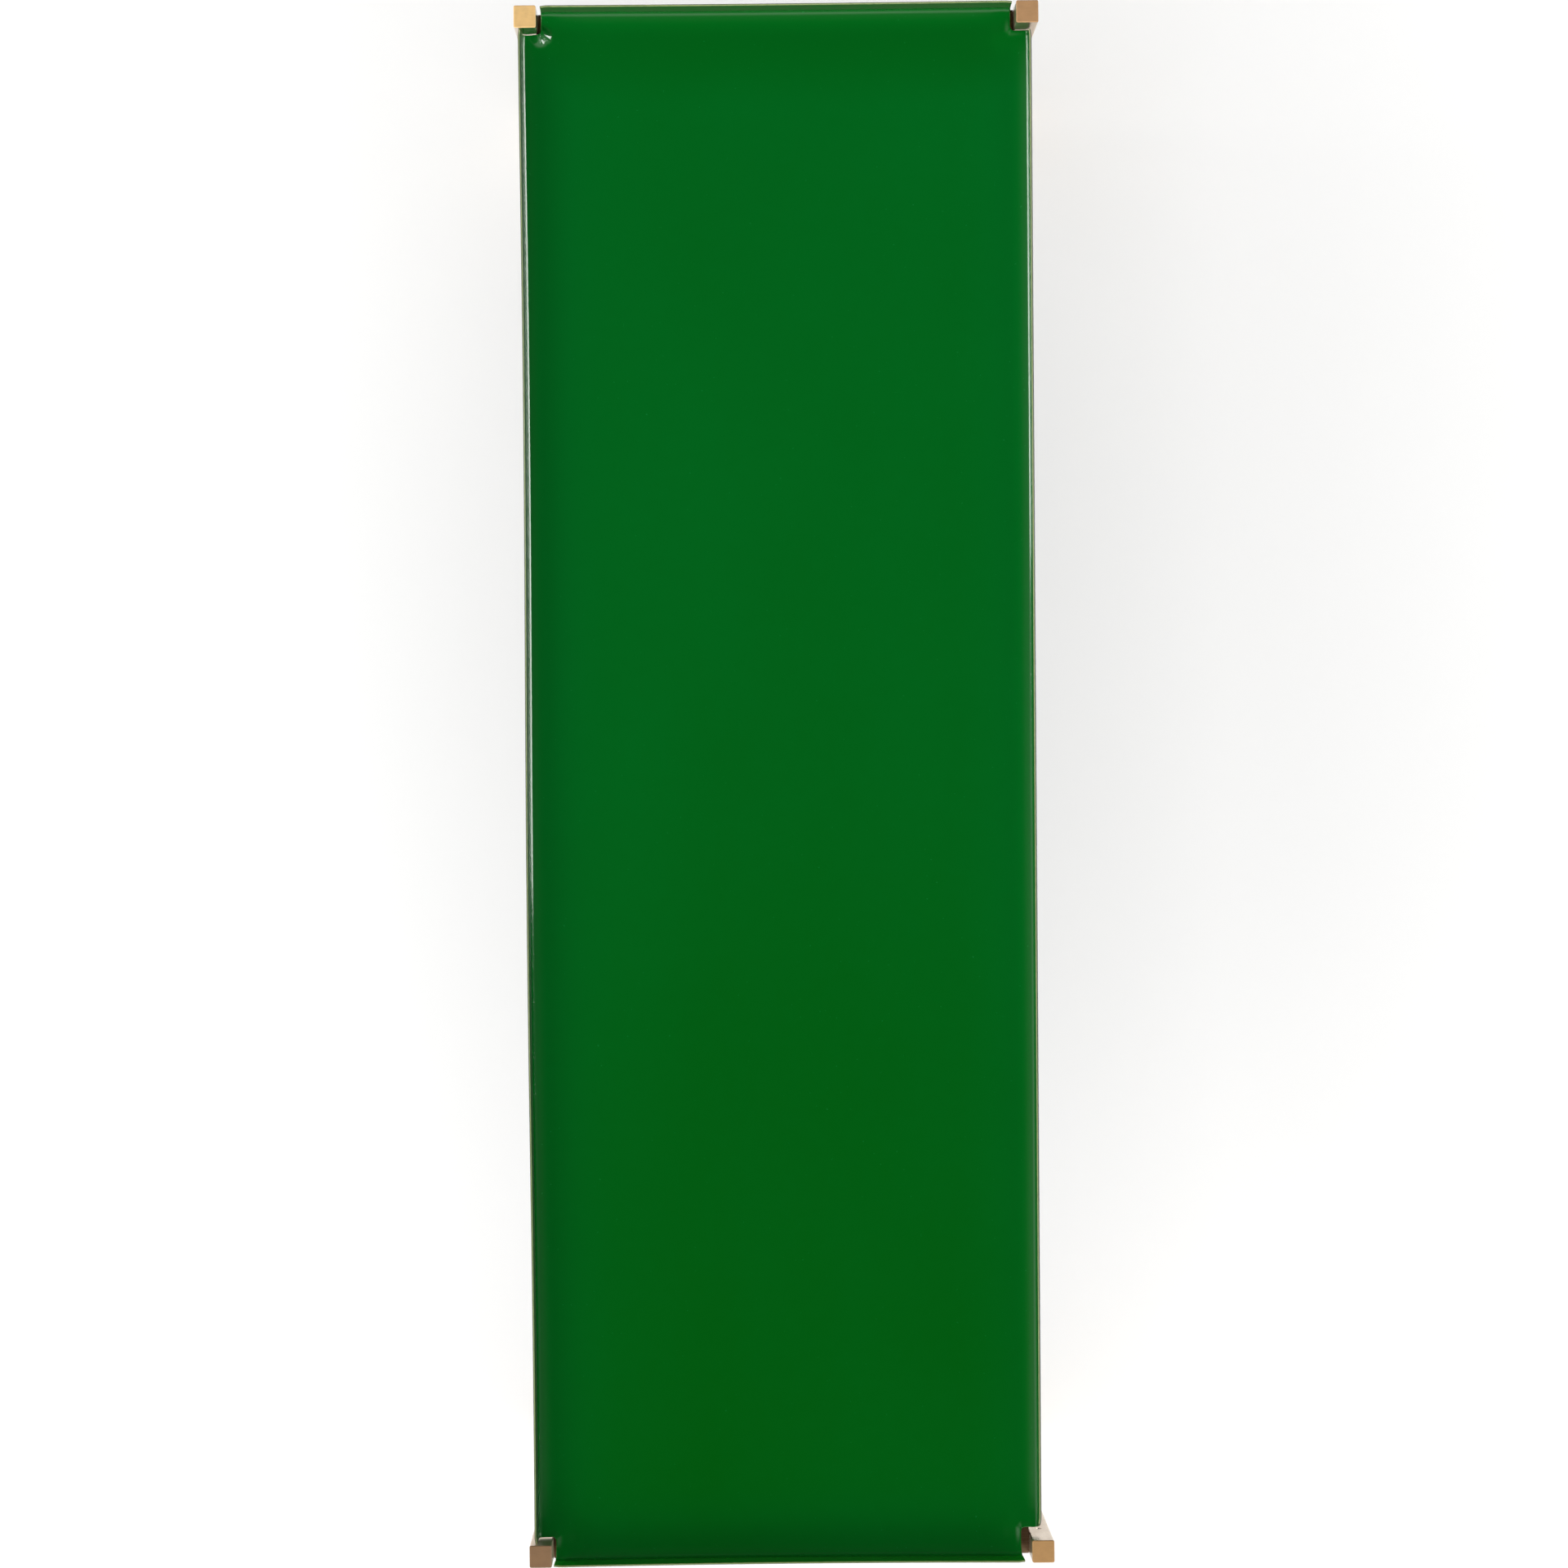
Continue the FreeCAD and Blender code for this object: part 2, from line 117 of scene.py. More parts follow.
class TraySizes(bpy.types.PropertyGroup):
    """Sizes of the tray that the frame's box doesn't give."""

    sheet: length("Sheet", "Steel and enamel together", 1.8 * MM)
    rim_sheet: length("Sheet at the rim", "Where the enamel thins out", 1.25 * MM)
    rim_width: length("Rim width", "Band along the rim where the sheet thins out", 8.0 * MM)
    cove: length("Cove radius", "Inside radius between floor and wall", 3.6 * MM)
    dish: length("Dish width", "Band of the floor that rises gently to the cove", 15.0 * MM)
    dish_slope: angle("Dish slope", "Slope of the floor where the cove starts", 21.0)
    notch_round: length("Notch round", "Inner corner of a notch", 3.5 * MM)
    bead: length("Bead height", "Raised enamel along a notch's edge", 1.5 * MM)
    bead_width: length("Bead width", "From a notch's edge to the bead's foot", 5.0 * MM)
    bead_reach: length("Bead reach", "Along the edge, to where the bead has faded", 14.0 * MM)
    swell: length("Swell height", "Rise of the floor towards a notch's corner", 2.6 * MM)
    swell_width: length("Swell width", "From the notch's corner to the swell's foot", 22.0 * MM)
    curl: length("Rear left curl", "Extra rise right at the rear left notch's corner", 3.2 * MM)
    curl_start: length("Curl start", "From the notch's corner to the curl's slope", 2.4 * MM)
    curl_width: length("Curl width", "Width of the curl's slope", 7.0 * MM)
    left_out: length("Left wall out", "Left wall's foot outside its drawn place", 1.9 * MM)
    right_out: length("Right wall out", "Right wall's foot outside its drawn place", -0.2 * MM)
    right_taper: length("Right taper", "How far the right wall's ends differ", 4.2 * MM)
    wave: length("Left wall wave", "Height of the waves of the left wall", 0.6 * MM)
    wave_pitch: length("Wave pitch", "Length of one wave of the left wall", 0.72)
    wave_place: length("Wave place", "Where along Y the left wall stands out least", 0.27)
    left_lean: length("Left lean", "Left rim inside the wall's foot", -0.4 * MM)
    right_lean: length("Right lean", "Right rim inside the wall's foot", 1.6 * MM)
    end_lean: length("End lean", "End rims inside the walls' feet", 0.0)
    front_bow: length("Front bow", "Front wall's middle inside its ends", 1.2 * MM)
    rear_bow: length("Rear bow", "Rear wall's middle inside its ends", 0.6 * MM)
    floor_wave: length("Floor wave", "Unevenness of the hand-made floor", 0.25 * MM)
    gap_foot: length("Gap foot", "Up a wall, to where a gap starts to change", 9.0 * MM)
    gap_reach: length("Gap reach", "Into the tray, to where a gap's shift has faded", 40.0 * MM)
    gap_aside: length("Gap aside", "Past the notch, to where a gap's shift has faded", 12.0 * MM)
    rear_left: gaps("Rear left gaps", (2.2, 2.6, 1.6, 1.4))
    rear_right: gaps("Rear right gaps", (2.3, 2.6, 1.5, 4.8))
    front_left: gaps("Front left gaps", (1.7, 1.1, 1.9, 1.4))
    front_right: gaps("Front right gaps", (5.7, 4.6, 5.6, 12.2))


class EnamelLook(bpy.types.PropertyGroup):
    """Colours of the vitreous enamel."""

    # The change from deep green at the front to clear green at the rear is painted light, not
    # enamel thickness; the cloudy mix between them is the enamel's own tone.
    deep: colour("Deep green", "Thickest enamel, towards the front", (0.0002, 0.075, 0.0030))
    clear: colour("Clear green", "Thinner enamel, towards the rear", (0.0002, 0.101, 0.0104))
    speck: colour("Speck", "Paler specks in the glaze", (0.02, 0.22, 0.06))
    # Olive: a painted grey reflection on the long walls and the rear wall.
    wall: colour("Olive", "Long walls and rear wall", (0.030, 0.062, 0.020))
    # Painted light: a brighter green for the front wall, which faces away from the light.
    front_wall_painted_light: colour("Front green", "Front wall", (0.0008, 0.18, 0.004))
    thin: colour("Thin enamel", "Band under the rim", (0.06, 0.105, 0.035))
    rim: colour("Rim", "Bare edge along the rim", (0.22, 0.27, 0.11))
    ground: colour("Ground coat", "Underside", (0.006, 0.018, 0.010))
    ground_light: colour("Light ground coat", "Patches of the underside", (0.012, 0.03, 0.016))
    roughness: share("Roughness", "Of the top side", 0.07)


class BronzeLook(bpy.types.PropertyGroup):
    """Colours of the bronze."""

    bright: colour("Bright bronze", "Freshly rubbed metal", (0.76, 0.645, 0.51))
    brown: colour("Brown bronze", "Metal with a brown skin", (0.40, 0.27, 0.16))
    # Painted shade: the rails and gussets take this dark colour as their ground because they lie in
    # the tray's shadow; on the legs it only marks dark spots.
    dark: colour("Dark bronze", "Rails and gussets", (0.095, 0.055, 0.028))
    roughness: share("Roughness", "Of the legs' sides", 0.13)


class GlideSizes(bpy.types.PropertyGroup):
    """Sizes of a glide's cup and thread."""

    cup_radius: length("Cup radius", "Outside radius", 7.4 * MM)
    flats: length("Flats", "Across the spanner flats", 13.0 * MM)
    seat_radius: length("Seat radius", "Of the recess that holds the pad", 6.45 * MM)
    seat_depth: length("Seat depth", "Of the recess that holds the pad", 1.5 * MM)
    cup_height: length("Cup height", "With its skirt", 3.0 * MM)
    edge: length("Edge", "Width of the turned edges", 0.25 * MM)
    thread_radius: length("Thread radius", "Outside radius of the thread", 4.0 * MM)
    thread_depth: length("Thread depth", "From crest to root", 0.6 * MM)
    thread_pitch: length("Thread pitch", "Height of one turn", 1.25 * MM)


class StudioSizes(bpy.types.PropertyGroup):
    """Camera, floor and light."""

    camera_x: length("Camera X", "Camera's place across the table", -0.03)
    camera_y: length("Camera Y", "Camera's place along the table", 0.0)
    camera_rise: length("Camera rise", "Camera above the legs' tops", 2.39)
    framed: length("Framed width", "Width seen at the legs' tops", 1.1286)
    turn: angle("Camera turn", "Camera's turn about its own axis", -0.6)
    floor: colour("Floor", "Pale studio floor", (0.87, 0.87, 0.865))
    floor_half: length("Floor half", "From the floor's middle to its sides", 6.0)
    surround: bpy.props.FloatProperty(name="Surround", description="Strength", default=2.7)


# ---- meshes --------------------------------------------------------------------------


def smooth(t):
    """0 below t = 0, 1 above t = 1, and 3t^2 - 2t^3 between."""
    t = np.clip(t, 0.0, 1.0)
    return t * t * (3.0 - 2.0 * t)


def cells(grid):
    """The four corners of each cell of a grid, in order round the cell."""
    return np.stack([grid[:-1, :-1], grid[1:, :-1], grid[1:, 1:], grid[:-1, 1:]], axis=-1)


def add_object(name, data):
    """An object in the scene that holds a mesh, a lamp or a camera."""
    shown = bpy.data.objects.new(name, data)
    bpy.context.scene.collection.objects.link(shown)
    return shown


def add_mesh(name, points, faces):
    """An object in the scene with a mesh of these points and faces."""
    mesh = bpy.data.meshes.new(name)
    mesh.from_pydata(points.tolist(), [], faces)
    mesh.update()
    return add_object(name, mesh)


def add_piece(name, points, faces, body, replaced):
    """A smooth-shaded mesh that rides on a body and replaces a CAD node."""
    piece = add_mesh(name, points, faces)
    piece.data.shade_smooth()
    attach(piece, body)
    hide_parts(replaced)
    return piece


def dress(target, finish):
    """Gives an object one material in place of all that it has."""
    target.data.materials.clear()
    target.data.materials.append(finish.material)


def lines(stops, counts):
    """Grid lines from stop to stop, with the given number of equal steps between them."""
    runs = [np.linspace(a, b, n, endpoint=False) for a, b, n in zip(stops, stops[1:], counts)]
    return np.concatenate(runs + [np.array(stops[-1:])])


# ---- tray ----------------------------------------------------------------------------


class WallProfile:
    """Cross-section of the tray's inside from the flat floor to the rim, by arc length.

    The slope eases from 0 to the dish slope over the dish's width, turns at a steady rate
    round the cove until it is upright, and stays upright up to the rim. Run and rise are
    the sums of the slope's cosine and sine.
    """

    def __init__(self, sizes, height):
        step = 0.05 * MM
        turn = sizes.cove * (math.pi / 2 - sizes.dish_slope)
        s = np.arange(0.0, sizes.dish + turn + height, step)
        slope = sizes.dish_slope * smooth(s / sizes.dish)
        slope += np.clip((s - sizes.dish) / sizes.cove, 0.0, math.pi / 2 - sizes.dish_slope)
        self.arc = s + step
        self.run = np.cumsum(np.cos(slope)) * step
        self.rise = np.cumsum(np.sin(slope)) * step
        self.reach = float(np.interp(height, self.rise, self.run))
        self.length = float(np.interp(height, self.rise, self.arc))

    def at(self, s):
        """Run and rise at arc length s, which is flat floor below 0."""
        run = np.where(s > 0, np.interp(s, self.arc, self.run), s)
        return run, np.where(s > 0, np.interp(s, self.arc, self.rise), 0.0)


def blank_lines(notch, end, sheet):
    """Grid lines from the tray's middle to its rim, close together where it bends or ends."""
    rounding = sheet / 2
    near, coarse = 15.0 * MM, 12.0 * MM
    fine = np.array([0.6, 0.3, 0.1, 0.0]) * rounding
    floor = lines([0.0, notch - near, notch - rounding], [max(2, int(notch / coarse)), 14])
    wall = lines([notch, notch + 4.0 * MM, end - rounding], [4, 30])
    half = np.concatenate([floor, notch - fine[:-1], wall, end - fine])
    return np.concatenate([-half[:0:-1], half])


def wall_out(sizes, side, y):
    """How far a long wall stands outside its drawn place: waves on the left, a taper on
    the right."""
    if side < 0:
        turn = (y - sizes.wave_place) / sizes.wave_pitch * 2 * math.pi
        return sizes.left_out - sizes.wave * np.cos(turn)
    return sizes.right_out + sizes.right_taper * y / (2 * TRAY_HIGH.y)


def notch_shift(p, q, sizes, corner, flange):
    """How a notch's grid moves: its corner is rounded and its edges are set at their gaps.

    p and q run outwards from the notch's drawn corner. Points on the two edges near the
    corner slide onto a quarter circle, and the slide dies out away from it. Each edge then
    moves by its own gap, which changes from floor to rim and dies out into the tray. The
    gap across the tray also makes up for how far the long wall stands out.
    """
    r = sizes.notch_round
    depth = np.maximum(-np.minimum(p, q), 0.0)
    along = np.clip(np.abs(p - q), 0.0, r)
    turn = math.pi / 4 * (1.0 - along / r)
    fade = np.clip(1.0 - depth / (4.0 * r), 0.0, 1.0) ** 2
    away = r * (1.0 - np.cos(turn)) * fade
    slide = (r * (1.0 - np.sin(turn)) - along) * fade
    first = q >= p
    dp = np.where(first, away, slide)
    dq = np.where(first, slide, away)

    drawn = LEG_LOW.x - notch_plan().x
    gap = getattr(sizes, corner)
    out = wall_out(sizes, CORNERS[corner][0], CORNERS[corner][1] * LEG_LOW.y)

    def widened(at_floor, at_rim, up):
        wide = smooth((up - sizes.gap_foot) / (flange - sizes.gap_foot))
        return at_floor + (at_rim - at_floor) * wide - drawn

    def faded(across, up):
        into = smooth(1.0 + across / sizes.gap_reach)
        aside = smooth(1.0 - across / sizes.gap_aside) * smooth(1.0 + up / sizes.gap_aside)
        return into * aside

    dp = dp - (widened(gap[0], gap[1], q) + out) * faded(p, q)
    dq = dq - widened(gap[2], gap[3], p) * faded(q, p)
    return dp, dq


def notch_plan():
    """The drawn corner of the rear right notch, as the tray's CAD node has it."""
    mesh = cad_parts["tray"].data
    points = np.empty(len(mesh.vertices) * 3, np.float32)
    mesh.vertices.foreach_get("co", points)
    x, y, z = points.reshape(-1, 3).T
    end_wall = (y > LEG_LOW.y) & (z > TRAY_HIGH.z - 1 * MM)
    side_wall = (x > LEG_LOW.x) & (z > TRAY_HIGH.z - 1 * MM)
    return Vector((float(x[end_wall].max()), float(y[side_wall].max()), 0.0))


def tray_sheet(sizes):
    """The tray's inside as a grid of points, with each point's distances to its edges.

    A point of the flat blank at (a, b) goes to x = a and y = b on the floor. Past the
    floor, x or y follows the wall profile's run, and z adds the profile's rise. The walls
    are then shifted, leaned and bowed, each by its own amount. The floor gets long shallow
    waves, and the notches get their beads and swells.
    """
    height = TRAY_HIGH.z - TRAY_LOW.z - sizes.sheet
    floor_z = TRAY_LOW.z + sizes.sheet
    profile = WallProfile(sizes, height - sizes.floor_wave)
    notch = notch_plan()
    flat_x = TRAY_HIGH.x - sizes.sheet - profile.reach
    flat_y = TRAY_HIGH.y - sizes.sheet - profile.reach
    end_x, end_y = flat_x + profile.length, flat_y + profile.length
    notch_a = flat_x + float(np.interp(notch.x - flat_x, profile.run, profile.arc))
    notch_b = flat_y + float(np.interp(notch.y - flat_y, profile.run, profile.arc))
    a, b = np.meshgrid(
        blank_lines(notch_a, end_x, sizes.sheet),
        blank_lines(notch_b, end_y, sizes.sheet),
        indexing="ij",
    )
    p, q = np.abs(a) - notch_a, np.abs(b) - notch_b
    side, end = np.where(a < 0, -1, 1), np.where(b < 0, -1, 1)

    move_a, move_b = np.zeros_like(a), np.zeros_like(b)
    for corner, (corner_side, corner_end) in CORNERS.items():
        here = (side == corner_side) & (end == corner_end)
        dp, dq = notch_shift(p, q, sizes, corner, end_x - notch_a)
        move_a, move_b = np.where(here, dp, move_a), np.where(here, dq, move_b)
    along_x, along_y = np.abs(a) + move_a, np.abs(b) + move_b
    run_x, rise_x = profile.at(along_x - flat_x)
    run_y, rise_y = profile.at(along_y - flat_y)
    x, y = side * (flat_x + run_x), end * (flat_y + run_y)

    from_x, from_y, ramp = 120.0 * MM, 490.0 * MM, 50.0 * MM
    out = np.where(side < 0, wall_out(sizes, -1, y), wall_out(sizes, 1, y))
    out = out * smooth((np.abs(x) - from_x) / ramp)
    lean = np.where(side < 0, sizes.left_lean, sizes.right_lean)
    x = x + side * (out - lean * (rise_x / height) ** 1.5)
    bow = np.where(end < 0, sizes.front_bow, sizes.rear_bow) * (1.0 - (x / TRAY_HIGH.x) ** 2)
    bow = bow * smooth((np.abs(y) - from_y) / ramp)
    y = y - end * (bow + sizes.end_lean * (rise_y / height) ** 1.5)

    waves = np.sin(2 * math.pi * (x / 0.31 + y / 0.53) + 1.0)
    waves = waves + np.sin(2 * math.pi * (y / 0.37 - x / 0.23) + 2.3)
    z = floor_z + rise_x + rise_y + sizes.floor_wave * (0.5 + 0.25 * waves)
    points = np.stack([x, y, z], axis=-1)

    to_notch = np.hypot(np.maximum(-p, 0.0), np.maximum(-q, 0.0))
    to_corner = np.hypot(p, q)
    to_rim = np.minimum(end_x - np.abs(a), end_y - np.abs(b))
    in_notch = (p > 0) & (q > 0)
    rear_left = (side < 0) & (end > 0)
    points = points + facing(points) * notch_lift(sizes, to_notch, to_corner, rear_left)
    return points, np.minimum(to_notch, to_rim), to_rim, in_notch


def notch_lift(sizes, to_notch, to_corner, rear_left):
    """How far the enamel stands up round the notches.

    A bead falls off with the distance to a notch's edge, and along the edge to a third of
    its height. A swell falls off with the distance to the notch's corner, and so does the
    curl, which only the rear left notch has.
    """
    bead = sizes.bead * (1.0 - smooth(to_notch / sizes.bead_width))
    bead = bead * (0.35 + 0.65 * (1.0 - smooth(to_corner / sizes.bead_reach)))
    swell = sizes.swell * (1.0 - smooth(to_corner / sizes.swell_width))
    curl = sizes.curl * (1.0 - smooth((to_corner - sizes.curl_start) / sizes.curl_width))
    return (bead + swell + np.where(rear_left, curl, 0.0))[..., None]


def facing(points):
    """Unit normals of a grid of points, from the cross product of its two directions."""
    across = np.gradient(points, axis=0)
    lengthways = np.gradient(points, axis=1)
    normal = np.cross(across, lengthways)
    return normal / np.linalg.norm(normal, axis=-1, keepdims=True)


def build_tray(sizes):
    """The tray as a closed sheet with round edges, whose sheet grows thin along the rim.

    The top and the underside lie half a sheet either side of the middle, and draw together
    along every edge as a circle's height does: half the sheet times the root of
    1 - (1 - distance / half the sheet)^2.
    """
    top, to_edge, to_rim, in_notch = tray_sheet(sizes)
    normal = facing(top)
    middle = top - normal * sizes.sheet / 2
    thinned = (sizes.sheet - sizes.rim_sheet) * smooth(to_rim / sizes.rim_width)
    half = (sizes.rim_sheet + thinned) / 2
    half = (half * np.sqrt(1.0 - (1.0 - np.clip(to_edge / half, 0.0, 1.0)) ** 2))[..., None]
    upper, lower = middle + normal * half, middle - normal * half

    rows, columns = to_edge.shape
    index = np.arange(rows * columns).reshape(rows, columns)
    on_edge = to_edge < 1e-9
    under = np.where(on_edge, index, index + rows * columns)
    kept = cells(~in_notch).all(axis=-1)
    faces = np.concatenate([cells(index)[kept], cells(under)[kept][:, ::-1]])
    points = np.concatenate([upper.reshape(-1, 3), lower.reshape(-1, 3)])
    used, faces = np.unique(faces, return_inverse=True)
    faces = faces.reshape(-1, 4)
    rim = np.tile(to_rim.ravel(), 2)[used]
    below = np.repeat([0.0, 1.0], rows * columns)[used]
    piece = add_piece(
        "tray_enamelled", points[used], faces.tolist(), "tray", "tray"
    )
    for name, values in (("rim_distance", rim), ("underside", below)):
        attribute = piece.data.attributes.new(name, "FLOAT", "POINT")
        attribute.data.foreach_set("value", values.astype(np.float32))
    return piece


# ---- glides --------------------------------------------------------------------------


def turned(rings, sides):
    """Points and faces of a turned shape, closed on its axis at both ends.

    rings gives radius and height as functions of the angle, one row for each ring, from
    the rim of one end face to the rim of the other.
    """
    turn = np.linspace(0.0, 2 * math.pi, sides, endpoint=False)
    radius, height = rings(turn)
    ring = np.stack([radius * np.cos(turn), radius * np.sin(turn), height], axis=-1)
    ends = np.array([[0.0, 0.0, height[0].mean()], [0.0, 0.0, height[-1].mean()]])
    points = np.concatenate([ring.reshape(-1, 3), ends])
    count = len(radius)
    index = np.arange(count * sides).reshape(count, sides)
    after = np.roll(index, -1, axis=1)
    quads = np.stack([index[:-1], after[:-1], after[1:], index[1:]], axis=-1).reshape(-1, 4)
    first, last = np.full(sides, count * sides), np.full(sides, count * sides + 1)
    foot = np.stack([first, after[0], index[0]], axis=-1)
    head = np.stack([last, index[-1], after[-1]], axis=-1)
    return points, quads.tolist() + foot.tolist() + head.tolist()


def glide_rings(sizes):
    """Radius and height of a glide's rings, from the pad's seat to the stem's end.

    The cup's upper part is a circle cut by two flats, so its radius is the lesser of the
    cup's radius and half the flats over the cosine of the angle. On the stem, the radius
    falls from crest to root and back once a pitch, as a triangle wave that climbs one
    pitch for each turn.
    """
    base, top = STEM_LOW.z, STEM_HIGH.z
    seat, cup = base + sizes.seat_depth, base + sizes.cup_height
    edge, crest = sizes.edge, sizes.thread_radius

    def rings(turn):
        flat = sizes.flats / 2 / np.maximum(np.abs(np.cos(turn)), 1e-6)
        cut = np.minimum(sizes.cup_radius, flat)
        whole = np.full_like(turn, sizes.cup_radius)
        plain = np.ones_like(turn)
        shape = [
            (plain * sizes.seat_radius, seat),
            (plain * sizes.seat_radius, base + edge),
            (plain * (sizes.seat_radius + edge), base),
            (whole - edge, base),
            (whole, base + edge),
            (whole, seat),
            (np.minimum(whole - 0.2 * edge, cut + 0.5 * edge), seat + 0.1 * edge),
            (cut, seat + 0.2 * edge),
            (cut, cup - edge),
            (cut - edge, cup),
            (plain * crest, cup),
        ]
        stem = np.linspace(cup, top - 2 * edge, num=110)[:, None]
        phase = (stem / sizes.thread_pitch - turn / (2 * math.pi)) % 1.0
        runout = smooth((stem - cup) / sizes.thread_pitch)
        screw = crest - sizes.thread_depth * runout * (1.0 - np.abs(2.0 * phase - 1.0))
        radius = np.concatenate(
            [np.array([row[0] for row in shape]), screw, [plain * (crest - sizes.thread_depth)]]
        )
        heights = [row[1] for row in shape] + list(stem[:, 0]) + [top]
        return radius, np.array(heights)[:, None] * plain

    return rings


def build_glide(sizes, corner):
    """One glide's cup and threaded stem, on the axis of its leg."""
    points, faces = turned(glide_rings(sizes), sides=40)
    side, end = CORNERS[corner]
    return add_piece(
        f"threaded_glide_{corner}",
        points + np.array([side * LEG_MIDDLE.x, end * LEG_MIDDLE.y, 0.0]),
        faces,
        f"glide_{corner}",
        f"glide_stem_{corner}",
    )


# ---- materials -----------------------------------------------------------------------


class Value:
    """A number that changes from place to place. Python's operators add its Math nodes."""

    def __init__(self, shading, socket):
        self.shading = shading
        self.socket = socket

    def _math(self, operation, *terms):
        inputs = dict(enumerate(terms))
        node = self.shading.node("ShaderNodeMath", {"operation": operation}, inputs)
        return Value(self.shading, node.outputs[0])

    def __add__(self, other):
        return self._math("ADD", self, other)

    def __sub__(self, other):
        return self._math("SUBTRACT", self, other)

    def __rsub__(self, other):
        return self._math("SUBTRACT", other, self)

    def __mul__(self, other):
        return self._math("MULTIPLY", self, other)

    __radd__ = __add__
    __rmul__ = __mul__

    def __abs__(self):
        return self._math("ABSOLUTE", self)

    def lesser(self, other):
        return self._math("MINIMUM", self, other)

    def greater(self, other):
        return self._math("MAXIMUM", self, other)

    def rise(self, low, high):
        """0 up to low, 1 from high on, and smooth between."""
        node = self.shading.node(
            "ShaderNodeMapRange",
            {"interpolation_type": "SMOOTHSTEP"},
            {"Value": self, "From Min": low, "From Max": high},
        )
        return Value(self.shading, node.outputs[0])


class Shading:
    """A node tree in the making, with the coordinates that it works from."""

    def __init__(self, tree, coordinates):
        self.tree = tree
        self.place = self.node("ShaderNodeTexCoord").outputs[coordinates]
        apart = self.node("ShaderNodeSeparateXYZ", inputs={0: self.place})
        self.x, self.y, self.z = (Value(self, output) for output in apart.outputs)

    def node(self, kind, settings=None, inputs=None):
        """Adds a node, sets its settings and then feeds its sockets."""
        node = self.tree.nodes.new(kind)
        for key, value in (settings or {}).items():
            setattr(node, key, value)
        for key, value in (inputs or {}).items():
            self.feed(node.inputs[key], value)
        return node

    def feed(self, socket, value):
        if isinstance(value, Value):
            value = value.socket
        if isinstance(value, bpy.types.NodeSocket):
            self.tree.links.new(value, socket)
        else:
            socket.default_value = value


class Finish(Shading):
    """A material in the making, with its Principled shader."""

    def __init__(self, name, **constants):
        self.material = bpy.data.materials.new(name)
        self.material.use_nodes = True
        super().__init__(self.material.node_tree, "Object")
        self.shader = self.tree.nodes["Principled BSDF"]
        self.show(**constants)

    def attribute(self, name):
        node = self.node("ShaderNodeAttribute", {"attribute_name": name})
        return Value(self, node.outputs["Fac"])

    def noise(self, scale, detail=3.0, stretch=(1.0, 1.0, 1.0), shift=(0.0, 0.0, 0.0)):
        """Noise on the object's own coordinates, stretched and shifted."""
        place = self.node(
            "ShaderNodeMapping", inputs={"Vector": self.place, "Scale": stretch, "Location": shift}
        )
        node = self.node(
            "ShaderNodeTexNoise",
            inputs={"Vector": place.outputs[0], "Scale": scale, "Detail": detail},
        )
        return Value(self, node.outputs[0])

    def mix(self, factor, first, second):
        """A colour between two colours."""
        first, second = (
            (*c, 1.0) if not isinstance(c, bpy.types.NodeSocket) else c for c in (first, second)
        )
        node = self.node(
            "ShaderNodeMix", {"data_type": "RGBA"}, {"Factor": factor, 6: first, 7: second}
        )
        return node.outputs[2]

    def bump(self, height, distance, strength=1.0, under=None):
        """A bump whose height is in metres when the strength is 1."""
        inputs = {"Height": height, "Distance": distance, "Strength": strength}
        if under is not None:
            inputs["Normal"] = under
        return self.node("ShaderNodeBump", inputs=inputs).outputs[0]

    def show(self, **channels):
        """Feeds the shader's channels, with underscores for the spaces in their names."""
        for socket, value in channels.items():
            self.feed(self.shader.inputs[socket.replace("_", " ")], value)
        return self


